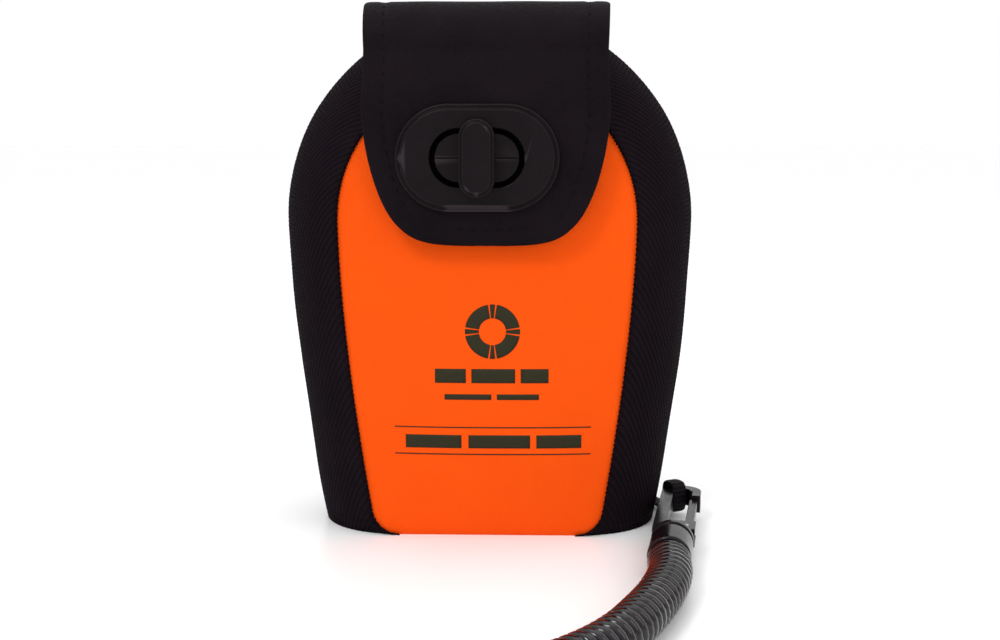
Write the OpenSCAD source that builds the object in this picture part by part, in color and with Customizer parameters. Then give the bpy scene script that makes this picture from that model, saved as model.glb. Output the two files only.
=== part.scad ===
// Emergency position beacon in a standing carry pouch, with a turn lock flap and a coiled lanyard.
// Sizes are in millimetres. The pouch stands on z = 0, its front faces -Y and its right is +X.

/* [Pouch] */
// Greatest width of the front panel
panel_w = 76; // [63:1:92]
// Height of the closed pouch
pouch_h = 135; // [120:1:165]
// Inside depth between the front and back panels
inner_d = 35; // [32:1:42]
// Thickness of the padded front and back panels
panel_t = 3; // [2:0.5:4]
// Thickness of the side webbing
webbing_t = 1.5; // [1:0.1:2]
// How far the side webbing bows out from the panel edges
side_bow = 15; // [12:0.5:18]
// How far the front panel bulges
front_dome = 2.5; // [1:0.5:4]
// Rounding of the lower corners of the panels
corner_r = 6; // [3:1:9]

/* [Flap] */
// Width of the flap
flap_w = 61; // [52:1:72]
// Thickness of the flap
flap_t = 3.5; // [3:0.5:4.5]
// Length of the flap down the front
flap_drop = 60; // [52:1:70]
// Outer radius of the folds at the top
fold_r = 12; // [10:1:14]

/* [Turn lock] */
// Distance from the top of the pouch down to the lock
lock_drop = 38; // [34:1:42]
// Sideways position of the lock
lock_x = -2; // [-3:0.5:3]
// Width of the eyelet plate
plate_w = 40; // [34:1:44]
// Height of the eyelet plate
plate_h = 26; // [22:1:30]
// Thickness of the eyelet plate
plate_t = 2.5; // [2:0.5:3]
// Width of the opening in the eyelet plate
eyelet_w = 23; // [20:0.5:26]
// Height of the opening in the eyelet plate
eyelet_h = 14.2; // [12:0.2:16]
// Width of the turning knob across its blade
knob_w = 8.6; // [7:0.2:10]
// Length of the turning knob
knob_l = 18.8; // [16:0.2:20]
// Thickness of the knob's blade
knob_t = 3.4; // [3:0.2:4.6]

/* [Beacon] */
// Wall thickness of the beacon's housing
case_wall = 2.2; // [1.8:0.2:2.6]
// Diameter of the distress button
distress_d = 13; // [10:1:16]
// Diameter of the self-test button
test_d = 9; // [7:1:11]
// Diameter of a battery cell
cell_d = 14; // [12:0.5:15]
// Length of a battery cell
cell_l = 46; // [40:1:50]

/* [Lanyard] */
// Outer diameter of the coiled lanyard
coil_d = 10.4; // [9:0.2:12]
// Diameter of the sleeves on the lanyard's ends
sleeve_d = 10.8; // [10:0.2:12]
// Length of a snap hook
hook_l = 40; // [38:1:46]
// Width of a snap hook
hook_w = 10.4; // [10:0.2:10.6]
// Thickness of a snap hook
hook_t = 4.6; // [4:0.2:5]
// Width of the belt loop on the back
loop_w = 32; // [26:1:40]

/* [Fits] */
// Gap between parts that rest on each other
seat = 0.3; // [0.2:0.05:0.4]
// Radial clearance around turning and sliding parts
run_fit = 0.1; // [0.05:0.05:0.15]

/* [Hidden] */
$fn = 48;
cut = 40;
belly_r = panel_w / 2;
mouth_h = pouch_h - 23;
belly_h = mouth_h - 0.41 * panel_w;
base_half = 0.382 * panel_w;
mouth_ang = asin((mouth_h - belly_h) / belly_r);
face_y = inner_d / 2 + panel_t;
back_y = face_y + seat;
base_t = 2.5;

// Stack of the lock, from the front panel outwards.
lock_z = pouch_h - lock_drop;
flap_in = face_y + front_dome + 1.3;
flap_out = flap_in + flap_t;
plate_y = flap_out + 0.1;
plate_face = plate_y + plate_t;
stud_back = face_y + 2.1;
stud_face = plate_face - 0.6;
knob_back = plate_face + 0.7;
knob_face = knob_back + knob_t;
stud_w = eyelet_w - 2.6;
stud_h = eyelet_h - 2.6;
pin_r = 1.5;
post_x = stud_w / 2 - 3.2;

// Flap profile.
flap_low = pouch_h - flap_drop;
hang_y = face_y + 5;
fold_y = hang_y - fold_r;
fold_z = pouch_h - fold_r;
riser_y = back_y + flap_t;

// Beacon.
case_t = inner_d - 2 * seat;
case_w = panel_w - 6;
case_low = base_t + 2 * seat;
case_top = mouth_h - 10;
lid_w = 0.71 * panel_w;
lid_low = case_top + seat;
lid_top = pouch_h - flap_t - seat;
antenna_z = lid_low + 14.8;
split = 0.4;
screw_x = case_w / 2 - 8;
screw_low = case_low + 9;
screw_high = case_top - 9;
button_z = 64;
test_z = 44;
lens_z = case_top - 9;
board_y = -5;

// Lanyard. The route lies on the floor and runs away from the pouch.
axis_z = 5.3;
near_end = [43.5, -54];
near_ang = 81;
far_ang = 180;
route = [
    [43.5, -54], [42.6, -66], [39.6, -78], [35, -90.5], [29.5, -102.5], [22, -113.5],
    [12.5, -122.5], [1, -128.5], [-11.5, -131.5], [-24.5, -131.5]
];
far_end = route[len(route) - 1];
hook_x = 16.6;
head_r = hook_w / 2;
head_x = hook_x + hook_l - head_r;
hole_r = head_r - 2.8;
pivot_x = hook_x + 3.4;
pivot_y = -head_r + 2.4;
gate_w = 2.2;
gate_t = 2.4;
spine_in = hook_w / 2 - 3.2;
nose_x = head_x - 4.5;

// ---- Helpers ----

// A closed solid between two grids of points of the same size.
module sheet_solid(a, b) {
    m = len(a);
    n = len(a[0]);
    k = m * n;
    points = concat([for (row = a, p = row) p], [for (row = b, p = row) p]);
    faces = concat(
        [for (i = [0:m - 2], j = [0:n - 2]) [i * n + j, i * n + j + 1, (i + 1) * n + j + 1]],
        [for (i = [0:m - 2], j = [0:n - 2]) [i * n + j, (i + 1) * n + j + 1, (i + 1) * n + j]],
        [for (i = [0:m - 2], j = [0:n - 2]) [k + i * n + j, k + (i + 1) * n + j + 1, k + i * n + j + 1]],
        [for (i = [0:m - 2], j = [0:n - 2]) [k + i * n + j, k + (i + 1) * n + j, k + (i + 1) * n + j + 1]],
        [for (j = [0:n - 2]) [j, k + j + 1, j + 1]],
        [for (j = [0:n - 2]) [j, k + j, k + j + 1]],
        [for (j = [0:n - 2]) [(m - 1) * n + j, (m - 1) * n + j + 1, k + (m - 1) * n + j + 1]],
        [for (j = [0:n - 2]) [(m - 1) * n + j, k + (m - 1) * n + j + 1, k + (m - 1) * n + j]],
        [for (i = [0:m - 2]) [i * n, (i + 1) * n, k + (i + 1) * n]],
        [for (i = [0:m - 2]) [i * n, k + (i + 1) * n, k + i * n]],
        [for (i = [0:m - 2]) [i * n + n - 1, k + (i + 1) * n + n - 1, (i + 1) * n + n - 1]],
        [for (i = [0:m - 2]) [i * n + n - 1, k + i * n + n - 1, k + (i + 1) * n + n - 1]]
    );
    polyhedron(points = points, faces = faces);
}

// A flat shape drawn in X and Z, given thickness from y0 to y1.
module slab_y(y0, y1) {
    translate([0, y1, 0])
        rotate([90, 0, 0])
            linear_extrude(y1 - y0)
                children();
}

// A cylinder along Y.
module rod_y(x, z, y0, y1, r) {
    translate([x, y1, z])
        rotate([90, 0, 0])
            cylinder(h = y1 - y0, r = r);
}

// A cylinder along X on a lanyard end's own axis.
module rod_x(x0, x1, r) {
    translate([x0, 0, 0])
        rotate([0, 90, 0])
            cylinder(h = x1 - x0, r = r);
}

// A rectangle with round corners, centred.
module round_rect(w, h, r) {
    square([w - 2 * r, h], center = true);
    square([w, h - 2 * r], center = true);
    for (x = [-1, 1], y = [-1, 1])
        translate([x * (w / 2 - r), y * (h / 2 - r)])
            circle(r);
}

// An oval with straight sides, centred on the lock.
module lock_oval(w, h) {
    translate([lock_x, lock_z])
        oval(w, h);
}

module oval(w, h) {
    r = min(w, h) / 2;
    square([max(w - 2 * r, 0.01), h > w ? 0.01 : h], center = true);
    square([h > w ? w : 0.01, max(h - 2 * r, 0.01)], center = true);
    for (s = [-1, 1])
        translate([s * (w / 2 - r), s * (h / 2 - r)])
            circle(r);
}

// A block with round corners both in plan and from the front.
module case_block(w, t, z0, z1, plan_r, face_r) {
    intersection() {
        translate([0, 0, z0])
            linear_extrude(z1 - z0)
                round_rect(w, t, plan_r);
        slab_y(-t / 2, t / 2)
            translate([0, (z0 + z1) / 2])
                round_rect(w, z1 - z0, face_r);
    }
}

// ---- Pouch shape ----

function straight_half(z) =
    z < belly_h
    ? belly_r - (belly_r - base_half) * pow((belly_h - z) / belly_h, 1.6)
    : sqrt(belly_r * belly_r - (z - belly_h) * (z - belly_h));
function corner_in(z) =
    z < corner_r ? corner_r - sqrt(corner_r * corner_r - (corner_r - z) * (corner_r - z)) : 0;
function panel_half(z) = straight_half(z) - corner_in(z);
function dome(z, t) =
    front_dome * (1 - t * t) * max(0, 1 - pow(abs(2 * z / mouth_h - 1), 4));

panel_rows = [
    0, 0.3, 1, 2, 3.5, corner_r, 12, 20, 30, 40, 50, 60, 70, 78, 86, 93, 99, 104, 108.5
];
function rows_to(top) = [for (z = concat([for (r = panel_rows) r * top / 112], [top])) z];

// The side webbing's section at a height: how far it bows, and the circle it follows.
chord = (inner_d + panel_t) / 2;
function bow_at(z) = side_bow - webbing_t / 2 - 0.9 + (z < corner_r ? corner_in(z) : 0);
function arc_r(z) = (chord * chord + bow_at(z) * bow_at(z)) / (2 * bow_at(z));
function arc_half(z) = acos((arc_r(z) - bow_at(z)) / arc_r(z));

side_rows = [
    for (z = [0, 0.3, 1, 2, 3.5, 6, 11, 18, 26, 34, 42, 50, 58, 66, 74]) [z * belly_h / 81, 0],
    for (k = [0:9]) [belly_h, k * mouth_ang / 9]
];
// A point of the webbing: row, angle round the section, and distance from its middle.
function side_point(row, phi, off, s) =
    let (z = row[0], lift = row[1])
    let (n = 0.9 - arc_r(z) * cos(arc_half(z)) + (arc_r(z) + off) * cos(phi))
    let (y = (arc_r(z) + off) * sin(phi))
    lift == 0
    ? [s * (panel_half(z) + n), y, z]
    : [s * (belly_r + n) * cos(lift), y, belly_h + (belly_r + n) * sin(lift)];
function side_grid(off, s) = [
    for (row = side_rows)
        [for (k = [-8:8]) side_point(row, k / 8 * arc_half(row[0]), off, s)]
];

module gusset(s) {
    a = side_grid(-webbing_t / 2, s);
    b = side_grid(webbing_t / 2, s);
    if (s > 0)
        sheet_solid(a, b);
    else
        sheet_solid(b, a);
}

module left_gusset() {
    color([0.07, 0.07, 0.08])
        gusset(-1);
}

module right_gusset() {
    color([0.07, 0.07, 0.08])
        gusset(1);
}

function panel_grid(y, bulge) = [
    for (z = rows_to(mouth_h))
        [for (k = [-6:6]) [k / 6 * panel_half(z), y - bulge * dome(z, k / 6), z]]
];

module front_panel() {
    color([0.98, 0.34, 0.03])
        difference() {
            sheet_solid(panel_grid(-inner_d / 2, 1), panel_grid(-face_y, 1));
            for (s = [-1, 0, 1])
                rod_y(lock_x + s * post_x, lock_z, -cut, 0, s == 0 ? 2.6 : pin_r + run_fit);
        }
}

module back_panel() {
    color([0.05, 0.05, 0.06])
        sheet_solid(panel_grid(face_y, 0), panel_grid(inner_d / 2, 0));
}

module base_panel() {
    low = [0.3, 0];
    right = [
        for (k = [-7:7])
            let (p = side_point(low, k / 8 * arc_half(0), -webbing_t / 2 - seat, 1))
            [p[0], max(-inner_d / 2 + 0.2, min(inner_d / 2 - 0.2, p[1]))]
    ];
    left = [for (k = [14:-1:0]) [-right[k][0], right[k][1]]];
    color([0.06, 0.06, 0.07])
        linear_extrude(base_t)
            polygon(concat(right, left));
}

function binding_grid(off) = [
    for (z = [mouth_h - 7, mouth_h - 5, mouth_h - 3, mouth_h - 1, mouth_h + 0.6])
        [
            for (k = [-6:6])
                let (x = k / 6 * (panel_half(mouth_h) - 1))
                [x, -face_y - off - dome(min(z, mouth_h), x / panel_half(min(z, mouth_h))), z]
        ]
];

module mouth_binding() {
    half = panel_half(mouth_h) - 1;
    color([0.05, 0.05, 0.06])
        union() {
            sheet_solid(binding_grid(0.25), binding_grid(0.95));
            translate([-half, -face_y - 0.5, mouth_h + 0.15])
                cube([2 * half, panel_t + 0.4, 0.45]);
        }
}

// ---- Flap ----

// Half of the flap's width: full at the top, then round down to its lower edge.
function flap_half(z) =
    let (u = max(0, (lock_z + 13 - z) / (lock_z + 13 - flap_low)))
    flap_w / 2 * pow(max(0.0001, 1 - pow(u, 1.5)), 0.216);
function hang(z) =
    z > lock_z
    ? hang_y + (flap_out - hang_y) * sin(90 * min(1, (fold_z - z) / (fold_z - lock_z - 12)))
    : flap_out - 0.9 * pow(max(0, lock_z - 12 - z) / 10, 2);
front_arc = [for (a = [0:10:90]) [fold_y + fold_r * sin(a), fold_z + fold_r * cos(a), a]];
front_drop = [
    for (u = [0.07, 0.14, 0.21, 0.29, 0.37, 0.46, 0.56, 0.66, 0.75, 0.82, 0.88, 0.925, 0.96, 0.98, 0.992])
        [hang(fold_z - u * (fold_z - flap_low)), fold_z - u * (fold_z - flap_low), 90]
];
function flap_row(y, z, half) = [for (k = [-5:5]) [k / 5 * half, y, z]];

module flap_front() {
    rows = concat(front_arc, front_drop);
    outer = [for (p = rows) flap_row(-p[0], p[1], flap_half(p[1]))];
    inner = [
        for (p = rows)
            flap_row(-p[0] + flap_t * sin(p[2]), p[1] - flap_t * cos(p[2]), flap_half(p[1]))
    ];
    color([0.08, 0.08, 0.09])
        difference() {
            sheet_solid(outer, inner);
            slab_y(-cut, 0)
                lock_oval(eyelet_w + 2.6, eyelet_h + 2.6);
        }
}

module flap_top() {
    back_arc_y = riser_y - fold_r;
    section = concat(
        [[-fold_y + 0.3, pouch_h], [0, pouch_h]],
        [for (a = [90:-10:0]) [back_arc_y + fold_r * cos(a), fold_z + fold_r * sin(a)]],
        [[riser_y, mouth_h + seat], [back_y, mouth_h + seat]],
        [for (a = [0:10:90])
            [back_arc_y + (fold_r - flap_t) * cos(a), fold_z + (fold_r - flap_t) * sin(a)]],
        [[0, pouch_h - flap_t], [-fold_y + 0.3, pouch_h - flap_t]]
    );
    color([0.08, 0.08, 0.09])
        translate([-flap_w / 2, 0, 0])
            rotate([90, 0, 90])
                linear_extrude(flap_w)
                    polygon(section);
}

module flap_anchor() {
    color([0.08, 0.08, 0.09])
        slab_y(back_y, riser_y)
            translate([0, mouth_h - 12])
                square([flap_w, 24], center = true);
}

module belt_loop() {
    low = 20;
    high = mouth_h - 30;
    lift = 5;
    t = 1.8;
    color([0.06, 0.06, 0.07])
        translate([-loop_w / 2, 0, 0])
            rotate([90, 0, 90])
                linear_extrude(loop_w)
                    polygon([
                        [back_y, low], [back_y + t, low], [back_y + t, low + 10],
                        [back_y + t + lift, low + 18], [back_y + t + lift, high - 18],
                        [back_y + t, high - 10], [back_y + t, high], [back_y, high],
                        [back_y, high - 11], [back_y + lift, high - 19],
                        [back_y + lift, low + 19], [back_y, low + 11]
                    ]);
}

// ---- Turn lock ----

module eyelet_plate() {
    color([0.04, 0.04, 0.045])
        difference() {
            union() {
                slab_y(-plate_face + 1, -plate_y)
                    lock_oval(plate_w, plate_h);
                slab_y(-plate_face, -plate_y)
                    lock_oval(plate_w - 2.4, plate_h - 2.4);
                slab_y(-plate_y - 1, -flap_in + 0.9)
                    lock_oval(eyelet_w + 2, eyelet_h + 2);
            }
            slab_y(-cut, 0)
                lock_oval(eyelet_w, eyelet_h);
        }
}

module eyelet_back_plate() {
    color([0.04, 0.04, 0.045])
        slab_y(-flap_in + 0.1, -flap_in + 0.9)
            difference() {
                lock_oval(eyelet_w + 11, eyelet_h + 8);
                lock_oval(eyelet_w + 2.2, eyelet_h + 2.2);
            }
}

module stud_base() {
    color([0.05, 0.05, 0.055])
        difference() {
            union() {
                slab_y(-stud_face, -stud_back)
                    lock_oval(stud_w, stud_h);
                for (s = [-1, 1])
                    rod_y(lock_x + s * post_x, lock_z, -stud_back - 1, -inner_d / 2 - 0.1, pin_r);
            }
            rod_y(lock_x, lock_z, -cut, 0, 1.7 + run_fit);
            rod_y(lock_x, lock_z, -stud_back - 3, 0, 3.4);
            translate([lock_x - stud_w / 2 - 1, -stud_face - 1, lock_z - 0.2])
                cube([stud_w + 2, 1.4, 0.4]);
        }
}

module stud_washer() {
    color([0.55, 0.56, 0.58])
        difference() {
            slab_y(-inner_d / 2 - 0.9, -inner_d / 2)
                lock_oval(stud_w, stud_h);
            for (s = [-1, 1])
                rod_y(lock_x + s * post_x, lock_z, -cut, 0, pin_r + 0.02);
            rod_y(lock_x, lock_z, -cut, 0, 2.2);
        }
}

module turn_knob() {
    color([0.03, 0.03, 0.035])
        union() {
            slab_y(-knob_face + 0.8, -knob_back)
                lock_oval(knob_w, knob_l);
            slab_y(-knob_face, -knob_back)
                lock_oval(knob_w - 1.6, knob_l - 1.6);
            rod_y(lock_x, lock_z, -knob_back - 0.5, -stud_face - 0.1, 3.4);
            rod_y(lock_x, lock_z, -knob_back - 0.5, -stud_back, 1.7);
        }
}

module knob_retainer() {
    color([0.6, 0.6, 0.62])
        difference() {
            rod_y(lock_x, lock_z, -stud_back - 1.1, -stud_back - 0.1, 2.9);
            rod_y(lock_x, lock_z, -cut, 0, 1.72);
        }
}

module detent_spring() {
    color([0.62, 0.62, 0.64])
        difference() {
            rod_y(lock_x, lock_z, -stud_back - 2.9, -stud_back - 1.3, 3.2);
            rod_y(lock_x, lock_z, -cut, 0, 2);
            translate([lock_x - 0.6, -cut, lock_z])
                cube([1.2, cut, 5]);
        }
}

// ---- Beacon ----

module case_shell() {
    difference() {
        case_block(case_w, case_t, case_low, case_top, 8, 10);
        case_block(case_w - 2 * case_wall, case_t - 2 * case_wall, case_low + case_wall,
            case_top - case_wall, 6, 8);
    }
}

module at_screws() {
    for (x = [-1, 1], z = [screw_low, screw_high])
        translate([x * screw_x, 0, z])
            children();
}

module front_housing() {
    color([0.95, 0.75, 0.05])
        difference() {
            union() {
                intersection() {
                    case_shell();
                    translate([-case_w, -cut, 0])
                        cube([2 * case_w, cut - split, pouch_h]);
                }
                at_screws()
                    rod_y(0, 0, -case_t / 2 + 1, -split, 3.4);
            }
            at_screws()
                rod_y(0, 0, -10, 0, 1.25);
            rod_y(0, button_z, -cut, -10, distress_d / 2 + run_fit);
            rod_y(0, test_z, -cut, -10, test_d / 2 + run_fit);
            rod_y(0, lens_z, -cut, -10, 4 + run_fit);
        }
}

module rear_housing() {
    color([0.95, 0.75, 0.05])
        difference() {
            union() {
                intersection() {
                    case_shell();
                    translate([-case_w, split, 0])
                        cube([2 * case_w, cut - split, pouch_h]);
                }
                at_screws()
                    rod_y(0, 0, split, case_t / 2 - 1, 3.4);
            }
            at_screws() {
                rod_y(0, 0, 0, cut, 1.4);
                rod_y(0, 0, case_t / 2 - 3, cut, 2.7);
            }
        }
}

module housing_gasket() {
    color([0.1, 0.1, 0.1])
        slab_y(-split + 0.1, split - 0.1)
            difference() {
                translate([0, (case_low + case_top) / 2])
                    round_rect(case_w, case_top - case_low, 10);
                translate([0, (case_low + case_top) / 2])
                    round_rect(case_w - 2 * case_wall, case_top - case_low - 2 * case_wall, 8);
            }
}

module housing_screws() {
    color([0.7, 0.7, 0.72])
        at_screws() {
            rod_y(0, 0, -8, case_t / 2 - 2, 1.2);
            rod_y(0, 0, case_t / 2 - 2.9, case_t / 2 - 0.6, 2.6);
        }
}

// A block with a square lower end and its upper edges round on every side.
module lid_block(w, t, z0, z1, plan_r, face_r, side_r) {
    intersection() {
        case_block(w, t, z0 - 40, z1, plan_r, face_r);
        translate([-w, 0, z1 - 30])
            rotate([90, 0, 90])
                linear_extrude(2 * w)
                    round_rect(t, 60, side_r);
        translate([-w, -t, z0])
            cube([2 * w, 2 * t, z1 - z0]);
    }
}

module antenna_lid() {
    color([0.95, 0.75, 0.05])
        difference() {
            lid_block(lid_w, case_t, lid_low + 0.8, lid_top, 10, 12, 8);
            lid_block(lid_w - 4, case_t - 4, lid_low - 1, lid_top - 2, 8, 10, 6);
            translate([0, case_t / 2 - 2.2, lid_low + 2.4])
                rotate([0, 90, 0])
                    cylinder(h = lid_w, r = 1.3, center = true);
            translate([-6.2, -case_t / 2 - 1, lid_low])
                cube([12.4, 4, 7]);
        }
}

module lid_gasket() {
    color([0.1, 0.1, 0.1])
        difference() {
            translate([0, 0, lid_low])
                linear_extrude(0.6)
                    round_rect(lid_w - 8, case_t - 6, 6);
            translate([0, 0, lid_low - 1])
                linear_extrude(3)
                    round_rect(lid_w - 12, case_t - 10, 4);
        }
}

module lid_hinge_pin() {
    color([0.7, 0.7, 0.72])
        translate([0, case_t / 2 - 2.2, lid_low + 2.4])
            rotate([0, 90, 0])
                cylinder(h = lid_w - 10, r = 1.1, center = true);
}

module lid_latch() {
    color([0.85, 0.1, 0.05])
        translate([-6, -case_t / 2, lid_low + 0.2])
            cube([12, 2, 6.6]);
}

module antenna_coil() {
    color([0.75, 0.75, 0.77])
        difference() {
            rod_y(0, antenna_z, -7, 7, 11);
            rod_y(0, antenna_z, -8, 8, 8.6);
        }
}

module antenna_post() {
    color([0.2, 0.2, 0.22])
        union() {
            rod_y(0, antenna_z, -8.5, 8.5, 8.4);
            translate([-5, -6, lid_low + 0.2])
                cube([10, 12, 3]);
            translate([-8, -8.4, lid_low + 0.2])
                cube([16, 1, 14]);
            translate([-8, 7.4, lid_low + 0.2])
                cube([16, 1, 14]);
        }
}

module strobe_lens() {
    color([0.9, 0.95, 1, 0.5])
        union() {
            rod_y(0, lens_z, -case_t / 2 - 0.1, -case_t / 2 + 3, 4);
            rod_y(0, lens_z, -case_t / 2 + case_wall + 0.1, -case_t / 2 + 3, 5);
        }
}

module strobe_led() {
    color([0.98, 0.95, 0.8])
        union() {
            rod_y(0, lens_z - 2, -case_t / 2 + 3.2, board_y - 0.8, 1.8);
            translate([-2.4, board_y - 2.8, lens_z - 4.4])
                cube([4.8, 2.6, 4.8]);
        }
}

module button(r, z) {
    rod_y(0, z, -case_t / 2 - 0.2, -case_t / 2 + 4, r);
    rod_y(0, z, -case_t / 2 + 4 - 0.1, -case_t / 2 + 5.2, r - 1.5);
}

module distress_button() {
    color([0.85, 0.08, 0.05])
        button(distress_d / 2, button_z);
}

module test_button() {
    color([0.1, 0.1, 0.1])
        button(test_d / 2, test_z);
}

module button_seal(r, z) {
    difference() {
        rod_y(0, z, -case_t / 2 + case_wall + 0.1, -case_t / 2 + case_wall + 1.3, r + 2);
        rod_y(0, z, -cut, 0, r + run_fit);
    }
}

module distress_seal() {
    color([0.12, 0.12, 0.12])
        button_seal(distress_d / 2, button_z);
}

module test_seal() {
    color([0.12, 0.12, 0.12])
        button_seal(test_d / 2, test_z);
}

module circuit_board() {
    color([0.05, 0.35, 0.15])
        difference() {
            slab_y(board_y, board_y + 1.6)
                translate([0, (case_low + case_top) / 2])
                    round_rect(case_w - 7, case_top - case_low - 8, 5);
            at_screws()
                rod_y(0, 0, -cut, cut, 3.8);
        }
}

module gps_antenna() {
    color([0.8, 0.72, 0.55])
        translate([-18, board_y - 4.3, case_low + 9])
            cube([22, 4.1, 22]);
}

module battery_cells() {
    color([0.15, 0.2, 0.45])
        for (x = [-1, 0, 1])
            translate([x * (cell_d + 1.6), board_y + 2.4 + 1.2 + cell_d / 2, case_low + 20])
                union() {
                    cylinder(h = cell_l, r = cell_d / 2);
                    cylinder(h = cell_l + 1.4, r = 2.4);
                }
}

module battery_holder() {
    reach = 3 * cell_d + 8;
    color([0.12, 0.12, 0.13])
        union() {
            translate([-reach / 2, board_y + 2.2, case_low + 16])
                cube([reach, 1, cell_l + 10]);
            translate([-reach / 2, board_y + 2.2, case_low + 16])
                cube([reach, 13, 3.7]);
            translate([-reach / 2, board_y + 2.2, case_low + 20 + cell_l + 1.7])
                cube([reach, 13, 3.7]);
        }
}

// ---- Lanyard ----

module at_near() {
    translate([near_end[0], near_end[1], axis_z])
        rotate([0, 0, near_ang])
            children();
}

module at_far() {
    translate([far_end[0], far_end[1], axis_z])
        rotate([0, 0, far_ang])
            children();
}

module sleeve() {
    r = sleeve_d / 2 - 0.2;
    difference() {
        rod_x(0.3, 11, r);
        rod_x(-1, 5, 1.9);
        rod_x(7.4, 12, 3.4);
    }
}

module collar() {
    difference() {
        union() {
            rod_x(11.1, 15.9, sleeve_d / 2 - 0.7);
            rod_x(12.4, 14.4, sleeve_d / 2 - 0.2);
        }
        rod_x(10, 17, 2.1);
    }
}

module hook_outline() {
    difference() {
        union() {
            translate([hook_x, -head_r])
                square([head_x - hook_x, hook_w]);
            translate([head_x, 0])
                circle(head_r);
        }
        translate([hook_x + 7, pivot_y - 0.2])
            square([head_x - hook_x - 7, spine_in - pivot_y + 0.2]);
        translate([head_x, 0])
            circle(hole_r);
        translate([hook_x + 7, -head_r - 1])
            square([nose_x - hook_x - 7, head_r]);
    }
}

module hook() {
    difference() {
        union() {
            translate([0, 0, -hook_t / 2])
                linear_extrude(hook_t)
                    hook_outline();
            rod_x(8.6, hook_x + 1, 2);
            rod_x(8.2, 9.8, 3.2);
        }
        translate([hook_x + 1.2, -head_r - 1, -gate_t / 2 - 0.15])
            cube([6, pivot_y + head_r + 3.4, gate_t + 0.3]);
        translate([pivot_x, pivot_y, -cut])
            cylinder(h = 2 * cut, r = 0.82);
    }
}

module gate() {
    difference() {
        translate([0, 0, -gate_t / 2])
            linear_extrude(gate_t)
                union() {
                    translate([pivot_x, pivot_y])
                        circle(1.9);
                    translate([pivot_x, pivot_y - gate_w / 2 - 0.6])
                        square([nose_x - pivot_x - 0.3, gate_w]);
                }
        translate([pivot_x, pivot_y, -cut])
            cylinder(h = 2 * cut, r = 0.88);
    }
}

module gate_pin() {
    translate([pivot_x, pivot_y, -hook_t / 2])
        cylinder(h = hook_t, r = 0.8);
}

module near_sleeve() {
    color([0.03, 0.03, 0.035])
        at_near()
            sleeve();
}

module near_collar() {
    color([0.1, 0.1, 0.11])
        at_near()
            collar();
}

module near_hook() {
    color([0.03, 0.03, 0.035])
        at_near()
            hook();
}

module near_gate() {
    color([0.1, 0.1, 0.11])
        at_near()
            gate();
}

module near_gate_pin() {
    color([0.6, 0.6, 0.62])
        at_near()
            gate_pin();
}

module far_sleeve() {
    color([0.03, 0.03, 0.035])
        at_far()
            sleeve();
}

module far_collar() {
    color([0.1, 0.1, 0.11])
        at_far()
            collar();
}

module far_hook() {
    color([0.03, 0.03, 0.035])
        at_far()
            hook();
}

module far_gate() {
    color([0.1, 0.1, 0.11])
        at_far()
            gate();
}

module far_gate_pin() {
    color([0.6, 0.6, 0.62])
        at_far()
            gate_pin();
}

// A webbing tab: a patch on the side webbing, a strap along the floor and a loop round the hook.
tab_w = 4;
bar = head_r - hole_r;
head_c = [near_end[0] + head_x * cos(near_ang), near_end[1] + head_x * sin(near_ang)];
tab_foot = side_point([1, 0], 32, webbing_t / 2 + 2.6, 1);
tab_run = [tab_foot[0], tab_foot[1]] - head_c;
tab_ang = atan2(tab_run[1], tab_run[0]);
grip = head_c + (head_r + hole_r) / 2 * [cos(tab_ang), sin(tab_ang)];
tab_l = norm(tab_run) - (head_r + hole_r) / 2;

module lanyard_tab() {
    rows = [1, 4, 7, 10, 13];
    a = [for (z = rows) [for (k = [0:4]) side_point([z, 0], 24 + 5 * k, webbing_t / 2 + 0.25, 1)]];
    b = [for (z = rows) [for (k = [0:4]) side_point([z, 0], 24 + 5 * k, webbing_t / 2 + 1.45, 1)]];
    color([0.06, 0.06, 0.07])
        union() {
            sheet_solid(a, b);
            translate([grip[0], grip[1], 0])
                rotate([0, 0, tab_ang]) {
                    translate([bar / 2 + 0.6, -tab_w / 2, 1.4])
                        cube([tab_l - bar / 2 - 0.6, tab_w, 1.1]);
                    difference() {
                        translate([-bar / 2 - 2, -tab_w / 2, 1.4])
                            cube([bar + 3.2, tab_w, axis_z + hook_t / 2 - 0.2]);
                        translate([-bar / 2 - 1.2, -tab_w, axis_z - hook_t / 2 - 0.3])
                            cube([bar + 1.6, 2 * tab_w, hook_t + 0.6]);
                    }
                }
        }
}

// The coiled lanyard: a round tube swept along the route.
function side_dir(k) =
    let (a = route[max(0, k - 1)], b = route[min(len(route) - 1, k + 1)])
    let (d = (b - a) / norm(b - a))
    k == 0 ? [sin(near_ang), -cos(near_ang)]
    : k == len(route) - 1 ? [sin(far_ang), -cos(far_ang)] * -1
    : [d[1], -d[0]] * -1;
function tube_ring(k) =
    let (s = side_dir(k))
    [
        for (a = [0:30:330])
            [
                route[k][0] + s[0] * coil_d / 2 * cos(a),
                route[k][1] + s[1] * coil_d / 2 * cos(a),
                axis_z + coil_d / 2 * sin(a)
            ]
    ];

module lanyard_coil() {
    m = len(route);
    points = [for (k = [0:m - 1], p = tube_ring(k)) p];
    sides = [
        for (k = [0:m - 2], j = [0:11])
            [12 * k + j, 12 * k + (j + 1) % 12, 12 * (k + 1) + (j + 1) % 12, 12 * (k + 1) + j]
    ];
    color([0.05, 0.05, 0.06])
        polyhedron(
            points = points,
            faces = concat(sides, [[for (j = [11:-1:0]) j], [for (j = [0:11]) 12 * (m - 1) + j]])
        );
}

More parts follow.
